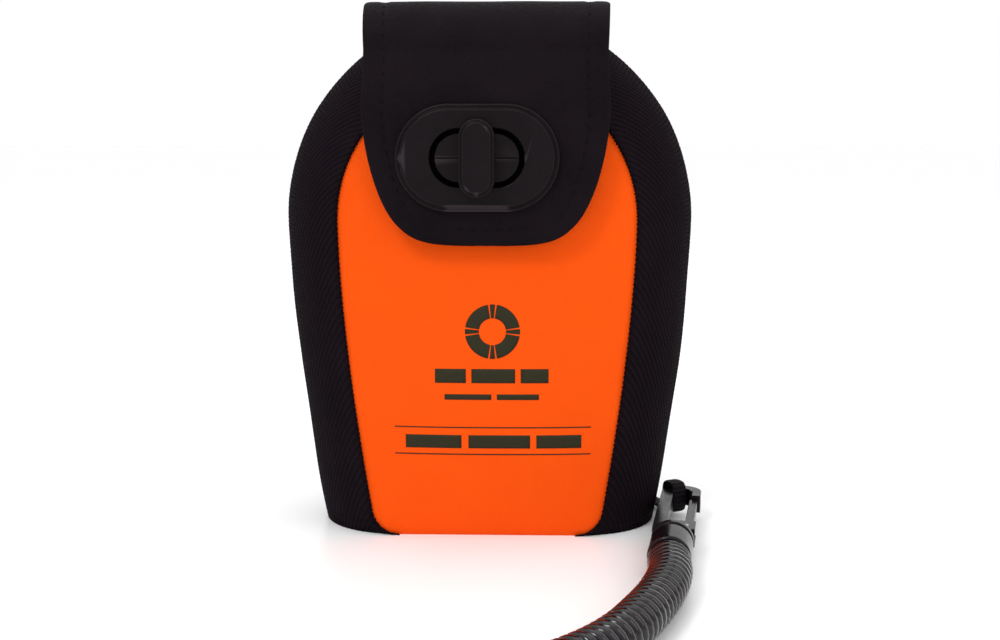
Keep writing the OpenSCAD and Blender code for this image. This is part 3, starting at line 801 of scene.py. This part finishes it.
# The tape's edges turn in over the panels' seams by this much, and spread by this much front to back.
LIP_IN = 1.3
LIP_OUTER, LIP_INNER = 1.5, 1.35


def side_level(s):
    """The height and the lift angle at a distance along the webbing from the floor."""
    return (s, 0.0) if s <= BELLY_H else (BELLY_H, (s - BELLY_H) / ARCH_R)


def side_point(z, lift, phi, off, side):
    """A point of the webbing at an angle round its section and a distance from its middle."""
    out = 0.9 - arc_r(z) * math.cos(arc_half(z)) + (arc_r(z) + off) * math.cos(phi)
    y = (arc_r(z) + off) * math.sin(phi)
    if lift == 0:
        return side * (panel_half(z) + out), y, z
    reach = BELLY_R + out
    return side * reach * math.cos(lift), y, BELLY_H + reach * math.sin(lift)


def twill_height(along, across):
    """Relief of the coarse twill, in millimetres."""
    return 0.12 * math.sin(2 * math.pi * (along - TWILL_SLOPE * abs(across)) / TWILL_PITCH)


def make_gusset(side, name, node):
    total = BELLY_H + ARCH_R * MOUTH_ANG
    rows = int(total / 0.5)
    cols = 42
    grid = []
    for i in range(rows + 1):
        s = total * i / rows
        z, lift = side_level(s)
        half, radius = arc_half(z), arc_r(z)
        row = []
        for k in range(-cols, cols + 1):
            phi = k / cols * half
            w = radius * phi
            edge = radius * (half - abs(phi))
            relief = twill_height(s, w) + 0.35 * ripple(s, w, side * 9, 22, 1)
            loops = 0.22 * math.sin(2 * math.pi * s / 1.25) * math.exp(-edge / 0.8)
            thick = WEB_T / 2 * (1 - 0.35 * math.exp(-edge / 0.5))
            flat = math.exp(-edge / 1.5)
            pull = LIP_IN * flat + loops
            pair = []
            for off, lip in ((thick + relief - 0.1, LIP_OUTER), (-WEB_T / 2, LIP_INNER)):
                x, y, height = side_point(z, lift, phi, off, side)
                y += math.copysign(lip * flat, w) if k else 0.0
                x -= side * pull * math.cos(lift)
                height -= pull * math.sin(lift)
                pair.append((x, y, max(0.02, height)))
            row.append((*pair, s, w))
        grid.append(row)
    piece = woven_piece(name, grid, TWILL)
    tape_width = 2 * arc_r(BELLY_H) * arc_half(BELLY_H)
    return place(piece, "pouch", (node,))


make_gusset(-1, "left_webbing", "left_gusset")
make_gusset(1, "right_webbing", "right_gusset")


# ---- the flap

FOLD_Z = FLAP_TOP - FOLD_R


def hang(z):
    """How far the front leaf hangs in front of the pouch's middle at a height."""
    if z > LOCK_Z:
        share = min(1, (FOLD_Z - z) / (FOLD_Z - LOCK_Z - 12))
        return HANG_Y + (FLAP_OUT - HANG_Y) * math.sin(math.pi / 2 * share)
    return FLAP_OUT - 0.9 * (max(0, LOCK_Z - 12 - z) / 10) ** 2


def flap_profile():
    """The flap's outer line in y and z, from its lower back edge over the top to its lower front edge."""
    turn = [math.pi / 2 * k / 24 for k in range(24)]
    top_front = -(HANG_Y - FOLD_R)
    top_back = RISER_Y - FOLD_R
    line = [(RISER_Y, FLAP_BACK_LOW + k * (FOLD_Z - FLAP_BACK_LOW) / 40) for k in range(40)]
    line += [(top_back + FOLD_R * math.cos(a), FOLD_Z + FOLD_R * math.sin(a)) for a in turn]
    line += [(top_back + (top_front - top_back) * k / 30, FLAP_TOP) for k in range(30)]
    line += [(top_front - FOLD_R * math.sin(a), FOLD_Z + FOLD_R * math.cos(a)) for a in turn]
    line += [(-hang(z), z) for z in (FOLD_Z - (FOLD_Z - FLAP_LOW) * k / 90 for k in range(91))]
    return np.array(line)


PROFILE = flap_profile()
PROFILE_RUN = distances(PROFILE)
FLAP_LENGTH = PROFILE_RUN[-1]


def on_profile(s):
    """Where a distance along the flap is, and which way its outside faces there."""
    way = way_at(s, PROFILE_RUN, PROFILE, 0.7)
    return point_at(s, PROFILE_RUN, PROFILE), np.array([way[1], -way[0]])


# Where the flap folds over the front edge, and where it starts to hang, as distances along it.
SPLIT_RUN = float(np.interp(-SPLIT_Y, -PROFILE[70:110, 0], PROFILE_RUN[70:110]))
DROP_RUN = next(run for run, (y, z) in zip(PROFILE_RUN, PROFILE) if y < -HANG_Y + 0.01 and z < FOLD_Z + 0.01)


FOLD_NARROW = 0.8
FLAP_COLS = 26
SEAM_INSET, END_INSET = 5.0, 4.2


def flap_half(s):
    """Half of the flap's width at a distance along it."""
    if s < DROP_RUN:
        return FLAP_HALF - FOLD_NARROW * max(0.0, (s - SPLIT_RUN) / (DROP_RUN - SPLIT_RUN))
    z = on_profile(s)[0][1]
    narrow = FOLD_NARROW * math.exp(-((s - DROP_RUN) / 13.0) ** 2)
    u = max(0.0, (LOCK_Z + 13 - z) / (LOCK_Z + 13 - FLAP_LOW))
    return (FLAP_HALF - narrow) * max(1e-4, 1 - u ** 1.5) ** 0.216


def flap_point(x, s, off):
    (y, z), face = on_profile(s)
    return x, y + face[0] * -off, z + face[1] * -off


def flap_strip(name, start, end, rows, lower_end):
    """A stretch of the flap as a closed solid with soft edges, and a soft lower end where it has one."""
    grid = []
    for i in range(rows + 1):
        share = i / rows
        s = start + (end - start) * (math.sin(math.pi / 2 * share) if lower_end else share)
        half = flap_half(min(s, FLAP_LENGTH - 0.02))
        end_gap = FLAP_LENGTH - s
        row = []
        for k in range(-FLAP_COLS, FLAP_COLS + 1):
            t = math.sin(math.pi / 2 * k / FLAP_COLS)
            x = t * half
            edge = half * (1 - abs(t))
            soft = 0.55 * math.exp(-edge / 0.5) + (0.55 * math.exp(-end_gap / 0.5) if lower_end else 0)
            seam = 0.28 * (math.exp(-((edge - SEAM_INSET) / 0.7) ** 2)
                           + (math.exp(-((end_gap - END_INSET) / 0.7) ** 2) if lower_end else 0))
            wave = 0.16 * ripple(x, 0, s, 15, 7)
            face = flap_point(x, s, soft + min(seam, 0.3) + wave - 0.16)
            row.append((face, flap_point(x, s, FLAP_T - soft), s, x))
        grid.append(row)
    piece = woven_piece(name, grid, FLAP)
    return piece


def oval_outline(width, height, count=48):
    """A flat oval with straight sides, centred on the lock."""
    radius = min(width, height) / 2
    dx, dz = width / 2 - radius, height / 2 - radius
    points = []
    for k in range(count):
        a = 2 * math.pi * k / count
        points.append((LOCK_X + math.copysign(dx, math.cos(a)) + radius * math.cos(a),
                       LOCK_Z + math.copysign(dz, math.sin(a)) + radius * math.sin(a)))
    return points


def cut_oval(piece, width, height):
    """Cuts the lock's opening through a piece."""
    ring = oval_outline(width, height)
    ends = [[(x, y, z) for x, z in ring] for y in (-45, -15)]
    cutter = new_piece("cutter", *prism(*ends), FLAP)
    boolean = piece.modifiers.new("cut", "BOOLEAN")
    boolean.object = cutter
    boolean.operation = "DIFFERENCE"
    boolean.solver = "EXACT"
    apply_modifiers(piece)
    bpy.data.objects.remove(cutter)


def stitch_row(name, path, faces_out, length=2.3, gap=0.9, radius=0.3):
    """A row of single stitches along a path, each a small bead of thread sunk in the cloth."""
    path = np.array(path)
    faces_out = np.array(faces_out)
    run = distances(path)
    points, faces, along, across = [], [], [], []
    rings, sides = 5, 6
    for n in range(int(run[-1] / (length + gap))):
        start = n * (length + gap) + gap / 2
        middle = point_at(start + length / 2, run, path)
        way = unit(point_at(start + length, run, path) - point_at(start, run, path))
        out = unit(point_at(start + length / 2, run, faces_out))
        across_way = np.cross(way, out)
        base = len(points)
        for i in range(rings):
            u = -1 + 2 * i / (rings - 1)
            swell_by = math.sqrt(max(0.03, 1 - u ** 4))
            for j in range(sides):
                a = 2 * math.pi * j / sides
                points.append(middle + way * u * length / 2 + out * (0.05 - 0.25 * u * u)
                              + swell_by * radius * (0.75 * math.cos(a) * out + math.sin(a) * across_way))
                along.append(start + u * length)
                across.append(radius * a)
        for i in range(rings - 1):
            for j in range(sides):
                a, b = base + i * sides + j, base + i * sides + (j + 1) % sides
                faces.append((a, b, b + sides, a + sides))
        faces.append(tuple(base + j for j in range(sides)))
        faces.append(tuple(base + (rings - 1) * sides + j for j in range(sides - 1, -1, -1)))
    row = new_piece(name, points, faces, THREAD)
    mark_weave(row, along, across)
    return row


def flap_stitches(name, line):
    """Stitches along a line of x and distances along the flap."""
    path = [flap_point(x, s, 0.12) for x, s in line]
    return stitch_row(name, path, [(0, *on_profile(s)[1]) for x, s in line])


def top_seam(name):
    """Stitches along both sides of the flap's back and top."""
    runs = np.arange(2.0, SPLIT_RUN - 0.5, 0.8)
    return join(name, [
        flap_stitches(f"{name}_{word}", [(side * (flap_half(s) - SEAM_INSET), s) for s in runs])
        for side, word in ((-1, "left"), (1, "right"))
    ])


def leaf_seam(name):
    """Stitches down one side of the front leaf, round its lower edge and up the other side."""
    end = FLAP_LENGTH - END_INSET
    half_line = []
    for s in np.arange(SPLIT_RUN + 1, end, 0.8):
        low = max(0.0, (s - (FLAP_LENGTH - 26)) / (26 - END_INSET))
        squeeze = max(0.0, 1 - low ** 3.2) ** 0.36
        half_line.append((min(flap_half(s) - SEAM_INSET, (FLAP_HALF - SEAM_INSET) * squeeze), s))
    half_line += [(x, end) for x in np.arange(half_line[-1][0] - 1, 0, -1)]
    return flap_stitches(name, half_line + [(-x, s) for x, s in reversed(half_line)])


def anchor_stitches(name, s):
    """A row of stitches across the flap's back, at a distance up it."""
    path = [flap_point(x, s, -0.15) for x in np.arange(-FLAP_HALF + 5, FLAP_HALF - 5, 0.8)]
    return stitch_row(name, path, [(0, 1, 0)] * len(path))


def blend_back(piece):
    """Bakes the piece's transform into its mesh. It does not bend the piece at the sewn edge behind the
    pouch, where the flap's top hinges.
    """
    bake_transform(piece)


def blend_front(piece):
    """Bakes the piece's transform into its mesh. It does not bend the piece at the fold over the pouch's top
    front edge.
    """
    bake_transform(piece)


def make_flap():
    back = flap_strip("flap_over_top", 0, SPLIT_RUN, 90, False)
    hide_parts("flap_top", "flap_anchor")
    leaf = flap_strip("flap_front_leaf", SPLIT_RUN, FLAP_LENGTH, 110, True)
    cut_oval(leaf, EYELET_W + 2.6, EYELET_H + 2.6)
    shade_smooth(leaf)
    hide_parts("flap_front")
    back_seam = top_seam("flap_top_stitches")
    rows = [
        anchor_stitches("flap_anchor_stitches", 3.0),
        anchor_stitches("flap_anchor_upper_stitches", 17.0),
    ]
    front_seam = leaf_seam("flap_leaf_stitches")
    place(join("flap_anchor_rows", rows), "pouch")
    for piece in (back, back_seam):
        blend_back(piece)
    for piece in (leaf, front_seam):
        blend_front(piece)


make_flap()


# ---- straps, base and mouth

def strap(name, path, across, width, thickness):
    """A flat tape that follows a path, with its width along one direction and soft edges."""
    across = np.array(across, float)
    run = distances(path)
    count = max(8, int(run[-1] / 0.8))
    spread = 10
    grid = []
    for i in range(count + 1):
        s = run[-1] * i / count
        at = point_at(s, run, path)
        up = unit(np.cross(across, way_at(s, run, path, 0.8)))
        row = []
        for k in range(-spread, spread + 1):
            t = math.sin(math.pi / 2 * k / spread)
            edge = width / 2 * (1 - abs(t))
            half = thickness / 2 * (1 - 0.45 * math.exp(-edge / 0.35))
            ribs = RIB_HEIGHT * math.sin(2 * math.pi * s / TAPE_PITCH)
            base = at + across * t * width / 2
            row.append((base + up * (half + ribs - RIB_HEIGHT), base - up * half, s, t * width / 2))
        grid.append(row)
    return woven_piece(name, grid, TAPE)


def cross_box(name, x0, x1, z0, z1, y):
    """A sewn box with a cross in it, on the back."""
    corners = np.array([(x0, y, z0), (x1, y, z0), (x1, y, z1), (x0, y, z1), (x0, y, z0)])
    rows = []
    for n, line in enumerate((corners, corners[[0, 2]], corners[[1, 3]])):
        for m, (a, b) in enumerate(zip(line, line[1:])):
            path = [a + (b - a) * t for t in np.linspace(0, 1, 12)]
            rows.append(stitch_row(f"{name}_{n}_{m}", path, [(0, 1, 0)] * 12, 1.8, 0.7, 0.25))
    return join(name, rows)


def make_belt_loop():
    lo, hi = box_mm("belt_loop")
    width, thick = hi[0] - lo[0], 1.8
    near, far = lo[1] + thick / 2, hi[1] - thick / 2
    path = curve_through([
        (0, near, lo[2]), (0, near, lo[2] + 5), (0, near, lo[2] + 10), (0, far, lo[2] + 19),
        (0, far, (lo[2] + hi[2]) / 2), (0, far, hi[2] - 19), (0, near, hi[2] - 10),
        (0, near, hi[2] - 5), (0, near, hi[2]),
    ])
    loop = strap("belt_loop_tape", path, (-1, 0, 0), width, thick)
    place(loop, "pouch", ("belt_loop",))
    rows = [
        cross_box(f"loop_box_{n}", lo[0] + 2.5, hi[0] - 2.5, z0, z0 + 6.5, near + thick / 2)
        for n, z0 in enumerate((lo[2] + 1.2, hi[2] - 7.7))
    ]
    place(join("loop_stitches", rows), "pouch")


def make_base():
    """The fabric floor of the pouch, a slab that fills the outline at its foot."""
    lo, hi = box_mm("base_panel")
    edge = []
    for k in range(-16, 17):
        phi = k / 18 * arc_half(0)
        x, y, _ = side_point(0.3, 0, phi, -WEB_T / 2 - 0.4, 1)
        edge.append((min(x, hi[0]), max(lo[1], min(hi[1], y))))
    outline = edge + [(-x, y) for x, y in reversed(edge)]
    ends = [[(x, y, z) for x, y in outline] for z in (lo[2], hi[2])]
    base = new_piece("pouch_base", *prism(*ends), BACK_CLOTH)
    round_edges(base, 0.6)
    place(base, "pouch", ("base_panel",))


def make_mouth_binding():
    """Tape folded over the front panel's upper edge, under the flap."""
    half = box_mm("mouth_binding")[1][0]
    section = [
        (0.25, -7.0), (0.3, -4.5), (0.3, -2.0), (0.3, -0.2), (0.0, 0.35), (-1.2, 0.5), (-2.4, 0.45)
    ]
    grid = []
    for k in range(61):
        x = half * (2 * k / 60 - 1)
        row = []
        for off, dz in section:
            z = MOUTH_H + dz
            t = min(0.999, abs(x) / panel_half(min(z, MOUTH_H)))
            y = -(FACE_Y + off + (dome(min(z, MOUTH_H), t) if off > 0 else 0))
            out, up, gap = (0.7, 0, 0.05) if off > 0 else (0, 0.35, 0)
            row.append(((x, y - out, z + up), (x, y - gap, z), x, 7 + dz - off))
        grid.append(row)
    place(woven_piece("mouth_tape", grid, TAPE), "pouch", ("mouth_binding",))


def make_tab():
    """The tape that ties the near hook to the side webbing: a patch, a strap and a loop round the hook."""
    grid = []
    for i in range(13):
        z = 1.0 + i
        row = []
        for k in range(13):
            phi = math.radians(24 + 20 * k / 12)
            soft = 0.35 if min(i, 12 - i, k, 12 - k) == 0 else 0.0
            face = side_point(z, 0, phi, WEB_T / 2 + 1.5 - soft, 1)
            row.append((face, side_point(z, 0, phi, WEB_T / 2 + 0.25, 1), z, k * 0.6))
        grid.append(row)
    place(woven_piece("tab_patch", grid, TAPE), "pouch")
    hook_lo, hook_hi = box_mm("near_hook")
    start = np.array(ROUTE[0], float)
    head = start + NEAR_REACH * np.array([math.cos(NEAR_ANGLE), math.sin(NEAR_ANGLE)])
    foot = np.array(side_point(1.0, 0, math.radians(32), WEB_T / 2 + 2.6, 1)[:2])
    way = unit(foot - head)
    grip = head + way * 3.8
    side = (-way[1], way[0], 0.0)
    low, high = hook_lo[2] - 0.6, hook_hi[2] + 0.6
    bar = 2.8

    def at(u, z):
        return (*(grip + way * u), z)

    middle = (low + high) / 2
    wrap = [
        at(bar / 2 + 1.0, low + 0.3), at(0, low), at(-bar / 2 - 0.9, low + 0.5), at(-bar / 2 - 1.6, middle),
        at(-bar / 2 - 0.9, high - 0.5), at(0, high), at(bar / 2 + 0.4, high - 0.5),
        at(bar / 2 + 0.9, middle), at(bar / 2 + 1.0, low + 0.5),
    ]
    loop = strap("tab_loop", curve_through(wrap, 6), side, 4.0, 0.8)
    place(loop, "pouch", ("lanyard_tab",))
    reach = np.linalg.norm(foot - grip)
    run = [at(bar / 2 + 0.8, low), at(reach * 0.6, low), at(reach - 0.6, low + 0.8), at(reach + 0.6, 7.0)]
    tail = strap("tab_strap", curve_through(run, 6), side, 4.0, 0.9)
    place(tail, "pouch")


make_belt_loop()
make_base()
make_mouth_binding()
make_tab()


# ---- moulded parts

def dress(node, material):
    """Gives a carried-over CAD node its material."""
    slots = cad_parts[node].data.materials
    for k in range(len(slots)):
        slots[k] = material
    if not slots:
        slots.append(material)


def make_stud_shade_sheet():
    """A dark sheet of tape on the panel round the turn lock's stud: painted shade for the groove between the
    lock's opening and the stud.
    """
    grid = []
    for i in range(10):
        z = LOCK_Z - 10 + 20 * i / 9
        row = []
        for k in range(19):
            x = LOCK_X - 15 + 30 * k / 18
            y = -(FACE_Y + dome(z, x / panel_half(z)))
            soft = 0.3 if min(i, 9 - i, k, 18 - k) == 0 else 0.0
            row.append(((x, y - 0.75 + soft, z), (x, y + 0.3, z), z, x))
        grid.append(row)
    place(woven_piece("stud_shade_sheet", grid, TAPE), "pouch")


def make_lock():
    rounded_copy("eyelet_plate", "lock_plate", LOCK, 0.55, "flap_front")
    rounded_copy("stud_base", "lock_stud", LOCK, 0.5, "pouch")
    rounded_copy("turn_knob", "lock_knob", LOCK, 0.7, "knob")


def make_ends():
    for end, body in (("near", "pouch"), ("far", "far_swivel")):
        rounded_copy(f"{end}_hook", f"{end}_snap_hook", HOOK, 0.9, body)
        rounded_copy(f"{end}_gate", f"{end}_snap_gate", HOOK, 0.5, f"{end}_gate")
        rounded_copy(f"{end}_sleeve", f"{end}_end_sleeve", HOOK, 0.8, "pouch")
        rounded_copy(f"{end}_collar", f"{end}_end_collar", HOOK, 0.6, "pouch")
        dress(f"{end}_gate_pin", STEEL)


def make_beacon():
    for node, name, width in (
        ("front_housing", "beacon_front", 0.7), ("rear_housing", "beacon_rear", 0.7),
        ("antenna_lid", "beacon_lid", 0.5),
    ):
        rounded_copy(node, name, CASE, width, "pouch", 2)
    rounded_copy("distress_button", "beacon_red_button", RED, 0.8, "distress_button")
    rounded_copy("test_button", "beacon_test_button", LOCK, 0.7, "test_button")
    rounded_copy("lid_latch", "beacon_latch", RED, 0.5, "pouch")
    looks = {
        STEEL: ("stud_washer", "knob_retainer", "detent_spring", "housing_screws", "lid_hinge_pin",
                "antenna_coil"),
        LOCK: ("eyelet_back_plate", "battery_holder", "antenna_post"),
        RUBBER: ("housing_gasket", "lid_gasket", "distress_seal", "test_seal"),
        LENS: ("strobe_lens",),
        LED: ("strobe_led",),
        BOARD: ("circuit_board",),
        CERAMIC: ("gps_antenna",),
        CELL: ("battery_cells",),
    }
    for material, nodes in looks.items():
        for node in nodes:
            dress(node, material)


# painted shade round the lock's stud
make_stud_shade_sheet()
make_lock()
make_ends()
make_beacon()


# ---- the plain mark on the panel

SURFACE = BVHTree.FromPolygons(
    [v.co[:] for v in front.data.vertices], [f.vertices[:] for f in front.data.polygons],
)


def on_panel(x, z, proud):
    """A point at x and z, proud of the front panel's face."""
    hit = SURFACE.ray_cast(Vector((x * MM, -0.1, z * MM)), Vector((0, 1, 0)))
    return x, hit[0][1] / MM - proud, z


def print_patch(name, rows):
    """A thin printed shape that lies on the panel, from rows of x and z."""
    outer = [[on_panel(x, z, 0.07) for x, z in row] for row in rows]
    inner = [[on_panel(x, z, -0.06) for x, z in row] for row in rows]
    return shell_piece(name, outer, inner, INK)


def bar(name, x0, x1, z0, z1):
    cols = max(2, int((x1 - x0) / 1.2))
    rows = [[(x0 + (x1 - x0) * i / cols, z) for i in range(cols + 1)]
            for z in np.linspace(z0, z1, max(2, int((z1 - z0) / 0.8)) + 1)]
    return print_patch(name, rows)


def ring_part(name, x, z, r0, r1, a0, a1):
    rows = [[(x + r * math.cos(a), z + r * math.sin(a)) for a in np.linspace(a0, a1, 15)]
            for r in np.linspace(r0, r1, 4)]
    return print_patch(name, rows)


def make_print():
    """A lifebuoy ring over two bars, and a bar between two thin lines. It holds no lettering."""
    x, z = 1.5, 53.6
    marks = []
    for n in range(4):
        middle = math.pi / 4 + n * math.pi / 2
        for name, way, half in (("ring", middle, 0.62), ("rope", middle + math.pi / 4, 0.1)):
            marks.append(ring_part(f"{name}_{n}", x, z, 3.4, 6.9, way - half, way + half))
    for name, low, high, spans in (
        ("upper_bar", 40.5, 44.1, ((-13.0, -5.2), (-3.8, 7.2), (8.6, 15.6))),
        ("lower_bar", 36.2, 37.6, ((-10.6, 1.2), (2.6, 13.2))),
        ("wide_bar", 23.6, 27.0, ((-20.6, -6.4), (-4.6, 11.0), (12.6, 24.0))),
    ):
        for n, (left, right) in enumerate(spans):
            marks.append(bar(f"{name}_{n}", left, right, low, high))
    for n, level in enumerate((22.0, 29.0)):
        marks.append(bar(f"thin_line_{n}", -23.4, 26.4, level - 0.14, level + 0.14))
    place(join("panel_print", marks), "pouch")


make_print()
